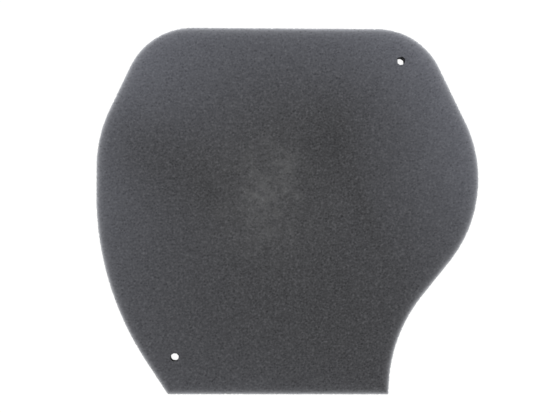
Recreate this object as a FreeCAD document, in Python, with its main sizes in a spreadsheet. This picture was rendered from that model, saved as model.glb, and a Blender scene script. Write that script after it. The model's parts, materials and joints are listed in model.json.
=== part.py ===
"""Flat foam air filter element: one die-cut sheet of open-cell foam with two locating holes.

The sheet lies flat. Its origin is the middle of its bounding box, on the underside, with +X along
its length, +Y towards the long straight edge at its back and +Z up through its thickness.
"""

import FreeCAD, Part
import math
import os
import Sketcher

# Driving dimensions in millimetres, measured from the middle of the sheet. A round is given by the
# centre of its arc, and the straight edges are the tangents from one round to the next.
DIMENSIONS = {
    "sheet_length": 209,
    "sheet_width": 200,
    "sheet_thickness": 10,
    "front_left_corner_x": -65,
    "front_right_corner_x": 55,
    "neck_radius": 82,
    "neck_x": 137.3,
    "neck_y": -97.8,
    "flank_radius": 72,
    "bulge_y": 17.6,
    "shoulder_y": 24,
    "back_corner_radius": 37.5,
    "back_right_corner_x": 49,
    "back_left_corner_x": -52.5,
    "sweep_radius": 165,
    "sweep_y": 9.2,
    "pin_hole_diameter": 4.3,
    "front_pin_hole_x": -61.5,
    "front_pin_hole_y": -80,
    "back_pin_hole_x": 62,
    "back_pin_hole_y": 82.5,
}

RIGHT_END = "dims.sheet_length / 2"
LEFT_END = "-dims.sheet_length / 2"
FRONT_EDGE = "-dims.sheet_width / 2"
BACK_CORNER_Y = "dims.sheet_width / 2 - dims.back_corner_radius"

# The outline, anticlockwise from its front left corner: name, centre x, centre y and radius.
# A radius of None is a sharp corner.
OUTLINE = [
    ("front_left_corner", "dims.front_left_corner_x", FRONT_EDGE, None),
    ("front_right_corner", "dims.front_right_corner_x", FRONT_EDGE, None),
    ("neck", "dims.neck_x", "dims.neck_y", "dims.neck_radius"),
    ("bulge", f"{RIGHT_END} - dims.flank_radius", "dims.bulge_y", "dims.flank_radius"),
    ("back_right_corner", "dims.back_right_corner_x", BACK_CORNER_Y, "dims.back_corner_radius"),
    ("back_left_corner", "dims.back_left_corner_x", BACK_CORNER_Y, "dims.back_corner_radius"),
    ("shoulder", f"{LEFT_END} + dims.flank_radius", "dims.shoulder_y", "dims.flank_radius"),
    ("sweep", f"{LEFT_END} + dims.sweep_radius", "dims.sweep_y", "dims.sweep_radius"),
]

# The neck's centre is outside the sheet, so its arc runs clockwise and hollows the outline.
HOLLOW_ROUNDS = {"neck"}

PIN_HOLES = ["front_pin_hole", "back_pin_hole"]

UP = FreeCAD.Vector(0, 0, 1)

# Which point of a curve a constraint takes, in the sketcher's own numbering.
START = 1
END = 2
CENTRE = 3

# How far the volume that the holes remove may be from their own, as a share.
VOLUME_TOLERANCE = 0.01


def add_dimensions(doc):
    """Writes the driving dimensions into a spreadsheet, one named cell each."""
    sheet = doc.addObject("Spreadsheet::Sheet", "dims")
    for row, (name, value) in enumerate(DIMENSIONS.items(), start=1):
        sheet.set(f"A{row}", name)
        sheet.set(f"B{row}", str(value))
        sheet.setAlias(f"B{row}", name)
    doc.recompute()


def add_sketch(body, name):
    """Adds an empty sketch on the body's own horizontal plane."""
    plane = next(f for f in body.Origin.OriginFeatures if f.Role == "XY_Plane")
    sketch = body.newObject("Sketcher::SketchObject", name)
    sketch.AttachmentSupport = [(plane, "")]
    sketch.MapMode = "FlatFace"
    return sketch


def bind(sketch, constraint, name, expression):
    """Adds a dimension to the sketch and ties it to the spreadsheet."""
    sketch.renameConstraint(sketch.addConstraint(constraint), name)
    sketch.setExpression(f"Constraints.{name}", expression)


def bind_place(sketch, point, place, name, x, y):
    """Ties a point of the sketch, given as its curve and which point of it, to the spreadsheet."""
    bind(sketch, Sketcher.Constraint("DistanceX", *point, place.x), f"{name}_x", x)
    bind(sketch, Sketcher.Constraint("DistanceY", *point, place.y), f"{name}_y", y)


def read(sketch, expression):
    """The number that an expression over the spreadsheet gives."""
    return float(sketch.evalExpression(expression))


def read_place(sketch, x, y):
    """The point that two expressions over the spreadsheet give."""
    return FreeCAD.Vector(read(sketch, x), read(sketch, y), 0)


def turn_radius(sketch, name, radius):
    """A round's radius, below zero where it turns clockwise, and zero at a sharp corner."""
    if radius is None:
        return 0.0
    return -read(sketch, radius) if name in HOLLOW_ROUNDS else read(sketch, radius)


def tangent_edge(first, second):
    """The ends of the straight edge that leaves one round and meets the next."""
    (centre_a, radius_a), (centre_b, radius_b) = first, second
    across = centre_b - centre_a
    heading = math.atan2(across.y, across.x) + math.asin((radius_a - radius_b) / across.Length)
    outward = FreeCAD.Vector(math.sin(heading), -math.cos(heading), 0)
    return centre_a + outward * radius_a, centre_b + outward * radius_b


def add_arc(sketch, centre, radius, entry, leave):
    """Adds a round from its entry point to its leaving point, and says which end is which."""
    start, end = (entry, leave) if radius > 0 else (leave, entry)
    angles = [math.atan2(point.y - centre.y, point.x - centre.x) for point in (start, end)]
    index = sketch.addGeometry(Part.ArcOfCircle(Part.Circle(centre, UP, abs(radius)), *angles))
    return (index, START, END) if radius > 0 else (index, END, START)


def draw_outline(sketch):
    """Draws the outline as rounds joined by tangent straight edges, and fixes every one of them."""
    rounds = [(read_place(sketch, x, y), turn_radius(sketch, name, r)) for name, x, y, r in OUTLINE]
    edges = [tangent_edge(a, b) for a, b in zip(rounds, rounds[1:] + rounds[:1])]
    lines = [sketch.addGeometry(Part.LineSegment(*edge)) for edge in edges]

    for i, (name, x, y, radius) in enumerate(OUTLINE):
        centre, turn = rounds[i]
        before, after = lines[i - 1], lines[i]
        if radius is None:
            sketch.addConstraint(Sketcher.Constraint("Coincident", before, END, after, START))
            bind_place(sketch, (after, START), centre, name, x, y)
            continue
        arc, entry, leave = add_arc(sketch, centre, turn, edges[i - 1][1], edges[i][0])
        sketch.addConstraint(Sketcher.Constraint("Tangent", before, END, arc, entry))
        sketch.addConstraint(Sketcher.Constraint("Tangent", arc, leave, after, START))
        bind(sketch, Sketcher.Constraint("Radius", arc, abs(turn)), f"{name}_radius", radius)
        bind_place(sketch, (arc, CENTRE), centre, name, x, y)


def draw_pin_holes(sketch):
    """Draws one circle for each locating hole."""
    diameter = read(sketch, "dims.pin_hole_diameter")
    for name in PIN_HOLES:
        x, y = f"dims.{name}_x", f"dims.{name}_y"
        centre = read_place(sketch, x, y)
        circle = sketch.addGeometry(Part.Circle(centre, UP, diameter / 2))
        size = Sketcher.Constraint("Diameter", circle, diameter)
        bind(sketch, size, f"{name}_diameter", "dims.pin_hole_diameter")
        bind_place(sketch, (circle, CENTRE), centre, name, x, y)


def make_foam_element(doc):
    """The foam sheet: its outline padded up to its thickness, with the locating holes cut through."""
    body = doc.addObject("PartDesign::Body", "FoamElement")
    body.Label = "foam_element"

    outline = add_sketch(body, "Outline")
    draw_outline(outline)
    pad = body.newObject("PartDesign::Pad", "Sheet")
    pad.Profile = outline
    pad.setExpression("Length", "dims.sheet_thickness")
    doc.recompute()

    holes = add_sketch(body, "PinHoles")
    draw_pin_holes(holes)
    pocket = body.newObject("PartDesign::Pocket", "PinHolePocket")
    pocket.Profile = holes
    pocket.Type = "ThroughAll"
    pocket.Reversed = True
    doc.recompute()

    removed = pad.Shape.Volume - pocket.Shape.Volume
    hole_area = math.pi / 4 * DIMENSIONS["pin_hole_diameter"] ** 2
    expected = len(PIN_HOLES) * hole_area * DIMENSIONS["sheet_thickness"]
    if abs(removed - expected) > VOLUME_TOLERANCE * expected:
        raise RuntimeError(f"the locating holes removed {removed:.2f} mm3, not {expected:.2f} mm3")
    return body


def check(doc, bodies):
    """Stops before anything is written if any object failed or any shape isn't one closed solid."""
    for item in doc.Objects:
        if {"Invalid", "Error"} & set(item.State):
            raise RuntimeError(f"{item.Name} failed: {item.State}")
        if item.isDerivedFrom("Sketcher::SketchObject") and not item.FullyConstrained:
            raise RuntimeError(f"{item.Name} isn't fully constrained")
    for body in bodies:
        shape = body.Shape
        if shape.isNull() or not shape.isValid() or len(shape.Solids) != 1:
            raise RuntimeError(f"{body.Label} isn't one valid solid")


def main():
    doc = FreeCAD.newDocument("FoamAirFilter")
    add_dimensions(doc)
    bodies = [make_foam_element(doc)]
    check(doc, bodies)
    os.makedirs("parts", exist_ok=True)
    for body in bodies:
        body.Shape.exportStep(f"parts/{body.Label}.step")
        box = body.Shape.BoundBox
        print(f"{body.Label}: {box.XLength:.2f} x {box.YLength:.2f} x {box.ZLength:.2f} mm")


main()
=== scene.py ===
"""Foam air filter element: the open-cell foam sheet, modelled over its CAD frame, and the stage.

Run as a script, it builds the stage and the sheet in order. Laid out as an add-on, it also lists
each step in the 3D view's sidebar, with the sizes and colours that a user may want to change.
"""

import json

import bpy
import numpy as np
from mathutils import Matrix, Vector
from mathutils.bvhtree import BVHTree


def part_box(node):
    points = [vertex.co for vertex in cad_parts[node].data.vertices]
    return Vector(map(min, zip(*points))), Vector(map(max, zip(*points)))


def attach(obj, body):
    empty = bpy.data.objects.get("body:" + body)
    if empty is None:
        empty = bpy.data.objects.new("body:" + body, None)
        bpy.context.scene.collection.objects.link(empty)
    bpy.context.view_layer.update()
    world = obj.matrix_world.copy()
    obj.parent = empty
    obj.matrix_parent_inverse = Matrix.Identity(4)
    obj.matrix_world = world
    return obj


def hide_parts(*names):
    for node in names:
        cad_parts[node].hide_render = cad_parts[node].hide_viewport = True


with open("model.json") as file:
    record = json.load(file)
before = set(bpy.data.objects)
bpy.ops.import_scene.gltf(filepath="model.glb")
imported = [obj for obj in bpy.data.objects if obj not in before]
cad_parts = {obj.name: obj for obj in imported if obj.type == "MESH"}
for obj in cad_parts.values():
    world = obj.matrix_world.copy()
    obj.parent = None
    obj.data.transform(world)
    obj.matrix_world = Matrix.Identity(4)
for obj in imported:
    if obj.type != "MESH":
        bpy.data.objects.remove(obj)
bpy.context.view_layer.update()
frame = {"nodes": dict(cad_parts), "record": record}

bl_info = {
    "name": "Foam air filter element",
    "version": (1, 1, 0),
    "blender": (4, 5, 0),
    "location": "3D View > Sidebar > Filter foam",
    "description": "Builds a die-cut sheet of open-cell filter foam and a plain studio stage",
    "category": "Add Mesh",
}

MM = 0.001
SHEET = "foam_element"
SHEET_LOW, SHEET_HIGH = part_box(SHEET)
THICKNESS = SHEET_HIGH.z - SHEET_LOW.z
MIDDLE = (SHEET_HIGH.z + SHEET_LOW.z) / 2
HALF_WIDTH = (SHEET_HIGH.y - SHEET_LOW.y) / 2
PIN_HOLES = [mount for mount in frame["record"]["mounts"] if mount["kind"] == "bore"]

# Sizes of the foam's patterns. Its struts are a few hundredths of a millimetre wide, which is too
# fine to show, so their painted glints and their grain are drawn at about the size of a cell.
GLINT_SIZE = 1.2 * MM
GRAIN_SIZE = 0.9 * MM
DUST_WISP_SIZE = 7 * MM
SKIVING_WAVE_LENGTH = 45 * MM

# Painted light: how light the face is drawn, where 1 is the foam's own colour, and how much it
# gains at one half width from the middle of the sheet, or beside its wall, where more light falls.
LIGHT_MIDDLE = 1.03
LIGHTER_BACK = 0.24
LIGHTER_ENDS = 0.34
LIGHTER_SIDES = 0.58
LIGHTER_BACK_CORNERS = 0.48
LIGHTER_BACK_RIGHT = 0.22
LIGHTER_WALL = 0.10
WALL_REACH = 15 * MM

# Soft dusty ovals on the face: centre and radii in half widths of the sheet, and turn in degrees.
DUSTY_MIDDLE = ((-0.10, 0.10), (0.25, 0.32), 10)
DUSTY_STREAK = ((-0.15, 0.12), (0.30, 0.08), 52)
# How much dust the streak adds, where the middle has 1.
STREAK_DUST = 0.5

# Soft painted shadows, ovals each given in the same way, and then how much darker it is.
BACK_SHADE = ((0.31, 0.52), (0.82, 0.40), 19, 0.26)
LEFT_SHADE = ((-0.86, 0.38), (0.42, 0.23), -27, 0.35)
RIGHT_LOBE = ((0.23, 0.39), (0.13, 0.26), -20, 0.10)
LEFT_LOBE = ((-0.42, 0.13), (0.15, 0.08), -74, 0.10)
RIGHT_STREAK = ((0.41, 0.02), (0.06, 0.34), 24, 0.10)
SHADES = (BACK_SHADE, LEFT_SHADE, RIGHT_LOBE, LEFT_LOBE, RIGHT_STREAK)

# How much wider the rim's band of painted light is at one half width to the back, and how much
# of that band's painted light the cut wall itself loses.
RIM_WIDER_BACK = 0.25
WALL_LOSS = 0.9
# The power by which the grain fades where painted light makes the face lighter than the foam's
# own colour.
GRAIN_FADE = 0.2


def linear(hex_colour):
    """An sRGB hex colour as linear red, green and blue."""
    values = [int(hex_colour[i : i + 2], 16) / 255 for i in (1, 3, 5)]
    return tuple(v / 12.92 if v <= 0.04045 else ((v + 0.055) / 1.055) ** 2.4 for v in values)


class FoamSettings(bpy.types.PropertyGroup):
    """The foam's cells, the shape that cutting leaves and the colours of its surface."""

    cell_size: bpy.props.FloatProperty(
        name="Cell size",
        description="Distance between pores, which is 1.27 mm in foam of 20 pores per inch",
        default=1.27 * MM,
        unit="LENGTH",
    )
    pore_depth: bpy.props.FloatProperty(
        name="Pore depth",
        description="How deep the cut-open cells are at the surface",
        default=0.42 * MM,
        unit="LENGTH",
    )
    mesh_size: bpy.props.FloatProperty(
        name="Mesh size",
        description="Distance between vertices, about a third of a cell so that each pore shows",
        default=0.4 * MM,
        unit="LENGTH",
    )
    wall_spread: bpy.props.FloatProperty(
        name="Wall spread",
        description="How far the wall starts outside the CAD wall, to leave the pores room",
        default=0.15 * MM,
        unit="LENGTH",
    )
    wall_dish: bpy.props.FloatProperty(
        name="Wall dish",
        description="How far the cut wall draws in at mid height, because the die squeezes the foam",
        default=0.35 * MM,
        unit="LENGTH",
    )
    skiving_wave: bpy.props.FloatProperty(
        name="Skiving wave",
        description="Height of the slow waves that the splitting blade leaves in the upper face",
        default=0.5 * MM,
        unit="LENGTH",
    )
    # The rim's paleness is painted light, standing for light that gets through the cut edge.
    rim_light_width: bpy.props.FloatProperty(
        name="Rim width",
        description="How far in from the cut wall the foam is paler",
        default=1.6 * MM,
        unit="LENGTH",
    )
    rim_light_strength: bpy.props.FloatProperty(
        name="Rim strength",
        description="How pale that band of foam beside the cut wall is",
        default=0.33,
        subtype="FACTOR",
    )
    # The pale row along the very edge is painted light, on the faces that look up or down.
    edge_width: bpy.props.FloatProperty(
        name="Edge width",
        description="Width of the row of cut-open cells along the very edge",
        default=0.55 * MM,
        unit="LENGTH",
    )
    edge_light_strength: bpy.props.FloatProperty(
        name="Edge strength",
        description="How pale that row of cells is",
        default=1.0,
        subtype="FACTOR",
    )
    strut_colour: bpy.props.FloatVectorProperty(
        name="Strut colour",
        description="Colour of the foam's struts at the surface",
        subtype="COLOR",
        default=linear("#444445"),
    )
    # The pores' darker colour is painted shade in the hollows.
    pore_shade_colour: bpy.props.FloatVectorProperty(
        name="Pore colour",
        description="Colour deep in a pore",
        subtype="COLOR",
        default=linear("#3b3b3c"),
    )
    # Colour of the painted light at the rim.
    rim_light_colour: bpy.props.FloatVectorProperty(
        name="Rim colour",
        description="Colour that the foam turns towards at the cut rim, where light gets through",
        subtype="COLOR",
        default=linear("#b8b9bb"),
    )
    # The painted light on the face turns it towards this colour.
    painted_light_colour: bpy.props.FloatVectorProperty(
        name="Haze colour",
        description="Colour that the lighter parts of the face turn towards",
        subtype="COLOR",
        default=linear("#b2b5c1"),
    )
    dust_colour: bpy.props.FloatVectorProperty(
        name="Dust colour",
        description="Colour of the dust on the middle of the sheet",
        subtype="COLOR",
        default=linear("#b8b8b4"),
    )


class StageSettings(bpy.types.PropertyGroup):
    """The plain white light table, its soft light and the camera above it."""

    table_size: bpy.props.FloatProperty(
        name="Table size",
        description="Side of the light table",
        default=8.0,
        unit="LENGTH",
    )
    table_glow: bpy.props.FloatProperty(
        name="Table glow",
        description="How brightly the light table shines, where 1 shows as plain white",
        default=1.0,
    )
    softbox_place: bpy.props.FloatVectorProperty(
        name="Softbox place",
        description="Where the window-like softbox stands, behind and above the sheet",
        default=(0.0, 0.45, 0.42),
        subtype="XYZ",
        unit="LENGTH",
    )
    softbox_size: bpy.props.FloatVectorProperty(
        name="Softbox size",
        description="Width and height of the softbox",
        size=2,
        default=(0.6, 0.35),
        unit="LENGTH",
    )
    softbox_power: bpy.props.FloatProperty(
        name="Softbox power",
        description="Power of the softbox in watts",
        default=2.1,
        unit="POWER",
    )
    softbox_colour: bpy.props.FloatVectorProperty(
        name="Softbox colour",
        description="Colour of the softbox's light, a cool daylight",
        subtype="COLOR",
        default=linear("#eef1ff"),
    )
    camera_place: bpy.props.FloatVectorProperty(
        name="Camera place",
        description="Where the camera stands, almost straight above the sheet",
        default=(-28.1 * MM, -21.7 * MM, 810.0 * MM),
        subtype="XYZ",
        unit="LENGTH",
    )
    camera_aim: bpy.props.FloatVectorProperty(
        name="Camera aim",
        description="The place on the sheet that the camera looks at",
        default=(-7.1 * MM, 2.25 * MM, 10.0 * MM),
        subtype="XYZ",
        unit="LENGTH",
    )
    camera_roll: bpy.props.FloatProperty(
        name="Camera roll",
        description="How far the camera is turned about its own line of sight",
        default=np.radians(0.17),
        subtype="ANGLE",
    )
    focal_length: bpy.props.FloatProperty(
        name="Focal length",
        description="The camera's focal length in millimetres",
        default=95.99,
        subtype="DISTANCE_CAMERA",
    )


def select_only(piece):
    """Makes a piece the only selected object and the active one."""
    bpy.ops.object.select_all(action="DESELECT")
    piece.select_set(True)
    bpy.context.view_layer.objects.active = piece


def apply_modifier(piece, kind, **settings):
    """Adds a modifier with its settings and applies it."""
    modifier = piece.modifiers.new(kind.title(), kind)
    for name, value in settings.items():
        setattr(modifier, name, value)
    bpy.ops.object.modifier_apply(modifier=modifier.name)


def read_points(mesh):
    """The mesh's vertices as an array, one row each."""
    points = np.empty(len(mesh.vertices) * 3, np.float32)
    mesh.vertices.foreach_get("co", points)
    return points.reshape(-1, 3)


def read_normals(mesh):
    """The mesh's vertex normals as an array, one row each."""
    normals = np.empty(len(mesh.vertices) * 3, np.float32)
    mesh.vertex_normals.foreach_get("vector", normals)
    return normals.reshape(-1, 3)


def store_attribute(mesh, name, values):
    """Keeps a number for each vertex on the mesh, for the material to read."""
    attribute = mesh.attributes.new(name, "FLOAT", "POINT")
    attribute.data.foreach_set("value", np.asarray(values, np.float32))


def add_node(tree, kind, inputs=(), output=None, **settings):
    """Adds a node with its settings and links, and returns the named output or the first in use.

    Each input is named by its identifier or its name, and takes a value or another node's output.
    """
    node = tree.nodes.new(kind)
    for name, value in settings.items():
        setattr(node, name, value)
    for name, value in dict(inputs).items():
        socket = next(s for s in node.inputs if name in (s.identifier, s.name))
        if isinstance(value, bpy.types.NodeSocket):
            tree.links.new(value, socket)
        else:
            socket.default_value = value
    return next((s for s in node.outputs if s.enabled and output in (None, s.name)), None)


def new_material(name):
    """An empty node material and its tree."""
    material = bpy.data.materials.new(name)
    material.use_nodes = True
    material.node_tree.nodes.clear()
    return material, material.node_tree


def filter_foam(foam):
    """Reticulated polyurethane foam, dyed charcoal in the block, skived to a sheet and die-cut.

    The knife opens every cell that it passes, so the face is a net of matt struts round dark
    pores, whose darker colour is painted shade. There is no skin and hardly any gloss. The pale cut
    edge is painted light, standing for light that gets through it, and the middle is a little dusty.
    Light and shade are painted across the face too, lighter towards the back and sides, with soft
    painted shadows and painted glints on the struts.
    """
    material, tree = new_material("reticulated_polyurethane_foam")
    place = add_node(tree, "ShaderNodeTexCoord", output="Object")
    pore, painted_shading, painted_light, painted_rim_light, dusty = (
        add_node(tree, "ShaderNodeAttribute", output="Fac", attribute_name=name)
        for name in ("pore", "painted_shading", "painted_light", "painted_rim_light", "dust")
    )

    # Painted shade: the colour darkens from the struts to deep in a pore.
    cells = add_node(
        tree,
        "ShaderNodeMix",
        {
            "Factor_Float": pore,
            "A_Color": (*foam.strut_colour, 1),
            "B_Color": (*foam.pore_shade_colour, 1),
        },
        data_type="RGBA",
    )
    # A power of the noise leaves a few bright joints in a duller net: random tone in the struts, with
    # painted glints where joints would catch the light.
    uneven = add_node(
        tree,
        "ShaderNodeTexNoise",
        {"Vector": place, "Scale": 1 / GLINT_SIZE, "Detail": 1.0},
    )
    glints = add_node(
        tree,
        "ShaderNodeMath",
        {"Value": uneven, "Value_001": 3.0},
        operation="POWER",
    )
    strut_tone_and_glints = add_node(
        tree,
        "ShaderNodeMapRange",
        {"Value": glints, "To Min": 0.76, "To Max": 2.48},
    )
    # The painted shading darkens the cells under painted shadows and fades their grain under painted
    # light.
    shade = add_node(
        tree,
        "ShaderNodeMath",
        {"Value": painted_shading, "Value_001": strut_tone_and_glints},
        operation="MULTIPLY",
    )
    toned = add_node(
        tree,
        "ShaderNodeMix",
        {"Factor_Float": 1.0, "A_Color": cells, "B_Color": shade},
        data_type="RGBA",
        blend_type="MULTIPLY",
    )
    # Painted light turns the lighter parts of the face towards a pale, cool colour.
    painted_lit = add_node(
        tree,
        "ShaderNodeMix",
        {"Factor_Float": painted_light, "A_Color": toned, "B_Color": (*foam.painted_light_colour, 1)},
        data_type="RGBA",
    )
    # Painted light: the foam turns paler towards the cut rim.
    rim_lit = add_node(
        tree,
        "ShaderNodeMix",
        {"Factor_Float": painted_rim_light, "A_Color": painted_lit, "B_Color": (*foam.rim_light_colour, 1)},
        data_type="RGBA",
    )
    # Dust gathers in wisps, with a thinner veil of it between them.
    cloud = add_node(
        tree,
        "ShaderNodeTexNoise",
        {"Vector": place, "Scale": 1 / DUST_WISP_SIZE, "Detail": 4.0, "Roughness": 0.6},
    )
    wisps = add_node(
        tree,
        "ShaderNodeMapRange",
        {"Value": cloud, "From Min": 0.42, "From Max": 0.75, "To Min": 0.024, "To Max": 0.095},
    )
    dust = add_node(
        tree,
        "ShaderNodeMath",
        {"Value": wisps, "Value_001": dusty},
        operation="MULTIPLY",
    )
    dusted = add_node(
        tree,
        "ShaderNodeMix",
        {"Factor_Float": dust, "A_Color": rim_lit, "B_Color": (*foam.dust_colour, 1)},
        data_type="RGBA",
    )

    grain = add_node(
        tree,
        "ShaderNodeTexNoise",
        {"Vector": place, "Scale": 1 / GRAIN_SIZE, "Detail": 2.0},
    )
    bump = add_node(
        tree,
        "ShaderNodeBump",
        {"Height": grain, "Strength": 0.4, "Distance": 0.2 * MM},
    )
    roughness = add_node(
        tree,
        "ShaderNodeMapRange",
        {"Value": pore, "To Min": 0.72, "To Max": 0.95},
    )
    shader = add_node(
        tree,
        "ShaderNodeBsdfPrincipled",
        {
            "Base Color": dusted,
            "Roughness": roughness,
            "Specular IOR Level": 0.1,
            "Normal": bump,
        },
    )
    add_node(tree, "ShaderNodeOutputMaterial", {"Surface": shader})
    return material


def light_table(glow):
    """Opal acrylic sheet lit from below, which is even white with a soft gloss at a low angle."""
    material, tree = new_material("opal_acrylic")
    face = add_node(tree, "ShaderNodeBsdfDiffuse", {"Color": (*linear("#404040"), 1)})
    lit = add_node(tree, "ShaderNodeEmission", {"Strength": glow})
    opal = add_node(tree, "ShaderNodeAddShader", {"Shader": face, "Shader_001": lit})
    gloss = add_node(tree, "ShaderNodeBsdfGlossy", {"Roughness": 0.14}, distribution="MULTI_GGX")
    fresnel = add_node(tree, "ShaderNodeFresnel", {"IOR": 1.49})
    shader = add_node(
        tree,
        "ShaderNodeMixShader",
        {"Fac": fresnel, "Shader": opal, "Shader_001": gloss},
    )
    add_node(tree, "ShaderNodeOutputMaterial", {"Surface": shader})
    return material


def select_level(sheet, level):
    """Selects the vertices, in edit mode, that lie within half the thickness of a height."""
    bpy.ops.mesh.select_all(action="DESELECT")
    bpy.ops.object.mode_set(mode="OBJECT")
    for vertex in sheet.data.vertices:
        vertex.select = abs(vertex.co.z - level) < THICKNESS / 2
    bpy.ops.object.mode_set(mode="EDIT")


def spread_walls(sheet, amount):
    """Moves the walls of the solid being edited out, and keeps both faces at their height."""
    bpy.ops.mesh.select_all(action="SELECT")
    bpy.ops.transform.shrink_fatten(value=amount, use_even_offset=True)
    for level in (SHEET_LOW.z, SHEET_HIGH.z):
        select_level(sheet, level)
        bpy.ops.transform.resize(value=(1, 1, 0), center_override=(0, 0, level))


def dish_walls(depth):
    """Cuts three loops round the wall of the solid being edited and draws them in a little."""
    pull_at_height = {0.25: 0.75, 0.5: 1.0, 0.75: 0.75}
    for height, pull in pull_at_height.items():
        bpy.ops.mesh.select_all(action="SELECT")
        level = SHEET_LOW.z + height * THICKNESS
        bpy.ops.mesh.bisect(plane_co=(0, 0, level), plane_no=(0, 0, 1))
        bpy.ops.transform.shrink_fatten(value=-pull * depth)


def in_pin_hole(point):
    """Whether a point on a wall is a pin hole's, being within twice its radius of its axis."""
    for hole in PIN_HOLES:
        away = Vector(point).xy - Vector(hole["pos_m"]).xy
        if away.length < 2 * hole["dims"]["r_mm"] * MM:
            return True
    return False


def outer_walls(mesh):
    """A search tree of the mesh's upright faces, apart from the pin holes' walls."""
    upright_below = 0.5
    places = [v.co.copy() for v in mesh.vertices]
    upright = [p for p in mesh.polygons if abs(p.normal.z) < upright_below and not in_pin_hole(p.center)]
    return BVHTree.FromPolygons(places, [p.vertices[:] for p in upright])


def wave_upper_face(sheet, height):
    """Moves the upper face up and down by a slow wave that dies away down the walls."""
    upper = sheet.vertex_groups.new(name="upper")
    share = np.clip((read_points(sheet.data)[:, 2] - MIDDLE) / (THICKNESS / 2), 0, 1)
    bands = 4
    band = np.round(share * bands)
    for step in range(1, bands + 1):
        upper.add(np.flatnonzero(band == step).tolist(), step / bands, "REPLACE")
    wave = bpy.data.textures.new("skiving wave", "CLOUDS")
    wave.noise_scale = SKIVING_WAVE_LENGTH
    apply_modifier(
        sheet,
        "DISPLACE",
        texture=wave,
        texture_coords="LOCAL",
        direction="Z",
        vertex_group=upper.name,
        mid_level=0.5,
        strength=height,
    )
    sheet.vertex_groups.clear()


def open_cells(sheet, foam):
    """Opens the cut cells over the whole surface, and returns how deep each vertex went, 0 to 1."""
    before = read_points(sheet.data)
    cells = bpy.data.textures.new("foam cells", "VORONOI")
    cells.noise_scale = foam.cell_size
    # These weights give 0 along the struts between cells. The intensity takes each pore down soon
    # beside them.
    cells.weight_1 = -1
    cells.weight_2 = 1
    cells.noise_intensity = 4
    apply_modifier(
        sheet,
        "DISPLACE",
        texture=cells,
        texture_coords="LOCAL",
        direction="NORMAL",
        mid_level=0,
        strength=-foam.pore_depth,
    )
    return np.linalg.norm(read_points(sheet.data) - before, axis=1) / foam.pore_depth


def wall_distance(points, walls):
    """Each point's distance from the outer wall, up to a reach past which it no longer matters."""
    reach = 30 * MM
    found = [walls.find_nearest(point, reach)[3] for point in points.tolist()]
    return np.array([reach if distance is None else distance for distance in found])


def soft_patch(across, along, centre, radii, turn):
    """1 at the centre of a turned oval on the sheet, fading to 0 past its edge."""
    u, v = across - centre[0], along - centre[1]
    cos, sin = np.cos(np.radians(turn)), np.sin(np.radians(turn))
    return np.exp(-(((u * cos + v * sin) / radii[0]) ** 2) - ((v * cos - u * sin) / radii[1]) ** 2)


def painted_light_and_shade(x, y, distance):
    """How light the face is, where 1 is the foam's own colour, at places in half widths.

    Painted light and shade: it grows lighter towards the back, the sides and the wall, where more
    light falls, with a few soft painted shadows.
    """
    light = LIGHT_MIDDLE + LIGHTER_BACK * y + LIGHTER_ENDS * y**2
    light += LIGHTER_SIDES * x**2
    light += LIGHTER_BACK_CORNERS * y * x**2
    light += LIGHTER_BACK_RIGHT * x * y
    light += LIGHTER_WALL * np.exp(-distance / WALL_REACH)
    # Painted shadows darken the face in soft ovals.
    for *oval, darker in SHADES:
        light -= darker * soft_patch(x, y, *oval)
    return light


def mark_surface(sheet, foam, points, normals, pores, walls):
    """Keeps on the mesh what the material reads, from its points before the pores opened."""
    x, y = points[:, 0] / HALF_WIDTH, points[:, 1] / HALF_WIDTH
    distance = wall_distance(points, walls)

    # Painted light lightens the face past the foam's own colour, and the grain grows fainter under it.
    light = painted_light_and_shade(x, y, distance)
    painted_shading = np.where(light > 1, light**-GRAIN_FADE, light)
    # The painted light is reckoned on green, which stands for lightness.
    own = np.interp(pores.mean(), (0, 1), (foam.strut_colour[1], foam.pore_shade_colour[1]))
    painted_light = (light - painted_shading) / (foam.painted_light_colour[1] / own - painted_shading)

    # 1 on the wall, and falling to 0 over its last stretch below the face or above the underside.
    corner = 1 * MM
    upright = 1 - np.clip((np.abs(points[:, 2] - MIDDLE) - THICKNESS / 2 + corner) / corner, 0, 1)
    # Painted light in a band beside the cut wall, fainter on the wall itself.
    rim_light_width = foam.rim_light_width * (1 + RIM_WIDER_BACK * y)
    band = np.exp(-distance / rim_light_width) * (1 - WALL_LOSS * upright)
    # Painted light along the very edge of the upper face and the underside.
    edge_light = np.exp(-distance / foam.edge_width) * np.abs(normals[:, 2])
    painted_rim_light = np.clip(foam.rim_light_strength * band + foam.edge_light_strength * edge_light, 0, 1)
    dust = soft_patch(x, y, *DUSTY_MIDDLE) + STREAK_DUST * soft_patch(x, y, *DUSTY_STREAK)

    marks = {"pore": pores, "painted_shading": painted_shading, "painted_light": painted_light, "painted_rim_light": painted_rim_light, "dust": dust}
    for name, values in marks.items():
        store_attribute(sheet.data, name, values)


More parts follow.
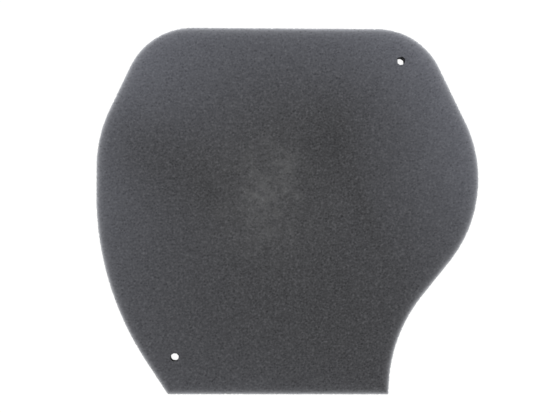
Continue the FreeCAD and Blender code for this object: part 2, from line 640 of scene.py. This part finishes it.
class FOAM_OT_sheet(bpy.types.Operator):
    """Build the die-cut foam sheet over its CAD solid"""

    bl_idname = "foam.sheet"
    bl_label = "Foam sheet"

    def execute(self, context):
        foam = context.scene.foam_settings
        sheet = bpy.data.objects.new("foam_sheet", frame["nodes"][SHEET].data.copy())
        sheet.data.materials.clear()
        context.scene.collection.objects.link(sheet)
        select_only(sheet)

        bpy.ops.object.mode_set(mode="EDIT")
        bpy.ops.mesh.select_all(action="SELECT")
        bpy.ops.mesh.remove_doubles(threshold=0.001 * MM)
        spread_walls(sheet, foam.wall_spread)
        dish_walls(foam.wall_dish)
        bpy.ops.object.mode_set(mode="OBJECT")
        walls = outer_walls(sheet.data)

        apply_modifier(sheet, "REMESH", mode="VOXEL", voxel_size=foam.mesh_size)
        # Takes off the steps that the voxels leave.
        apply_modifier(sheet, "SMOOTH", factor=0.5, iterations=6)
        wave_upper_face(sheet, foam.skiving_wave)
        points, normals = read_points(sheet.data), read_normals(sheet.data)
        # The root makes the colour's painted shade deepen sooner than the pore does.
        pores = np.sqrt(open_cells(sheet, foam))
        mark_surface(sheet, foam, points, normals, pores, walls)

        sheet.data.materials.append(filter_foam(foam))
        bpy.ops.object.shade_smooth()
        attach(sheet, "root")
        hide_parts(SHEET)
        return {"FINISHED"}


class FOAM_OT_stage(bpy.types.Operator):
    """Lay the light table and set the soft light and the camera"""

    bl_idname = "foam.stage"
    bl_label = "Stage"

    def execute(self, context):
        stage = context.scene.stage_settings
        bpy.ops.object.select_all(action="DESELECT")
        bpy.ops.mesh.primitive_plane_add(size=stage.table_size)
        table = context.object
        table.name = "light_table"
        table.data.materials.append(light_table(stage.table_glow))

        world = bpy.data.worlds.new("white_studio")
        context.scene.world = world
        world.use_nodes = True
        world.node_tree.nodes["Background"].inputs["Color"].default_value = (1, 1, 1, 1)
        world.node_tree.nodes["Background"].inputs["Strength"].default_value = 1.0

        place = Vector(stage.softbox_place)
        facing = place.to_track_quat("Z", "X").to_euler()
        bpy.ops.object.light_add(type="AREA", location=place, rotation=facing)
        softbox = context.object
        softbox.name = "window_softbox"
        softbox.visible_glossy = False
        softbox.data.shape = "RECTANGLE"
        softbox.data.size, softbox.data.size_y = stage.softbox_size
        softbox.data.energy = stage.softbox_power
        softbox.data.color = stage.softbox_colour

        stand = Vector(stage.camera_place)
        forward = (Vector(stage.camera_aim) - stand).normalized()
        right = forward.cross(Vector((0, 1, 0))).normalized()
        upright = Matrix((right, right.cross(forward), -forward)).transposed()
        turned = upright @ Matrix.Rotation(stage.camera_roll, 3, "Z")
        bpy.ops.object.camera_add(location=stand, rotation=turned.to_euler())
        camera = context.object
        camera.name = "camera"
        camera.data.lens = stage.focal_length
        camera.data.clip_end = 100
        context.scene.camera = camera
        context.scene.view_settings.view_transform = "Standard"
        return {"FINISHED"}


class FOAM_PT_sidebar(bpy.types.Panel):
    """Lists the steps, with their sizes and colours"""

    bl_idname = "FOAM_PT_sidebar"
    bl_label = "Filter foam"
    bl_space_type = "VIEW_3D"
    bl_region_type = "UI"
    bl_category = "Filter foam"

    def draw(self, context):
        for step, settings in (
            (FOAM_OT_sheet, context.scene.foam_settings),
            (FOAM_OT_stage, context.scene.stage_settings),
        ):
            box = self.layout.box()
            box.operator(step.bl_idname)
            for name in settings.__annotations__:
                box.prop(settings, name)


CLASSES = (FoamSettings, StageSettings, FOAM_OT_sheet, FOAM_OT_stage, FOAM_PT_sidebar)


def register():
    for item in CLASSES:
        bpy.utils.register_class(item)
    bpy.types.Scene.foam_settings = bpy.props.PointerProperty(type=FoamSettings)
    bpy.types.Scene.stage_settings = bpy.props.PointerProperty(type=StageSettings)


def unregister():
    del bpy.types.Scene.stage_settings
    del bpy.types.Scene.foam_settings
    for item in reversed(CLASSES):
        bpy.utils.unregister_class(item)


def main():
    register()
    bpy.ops.foam.stage()
    bpy.ops.foam.sheet()


if __name__ == "__main__":
    main()
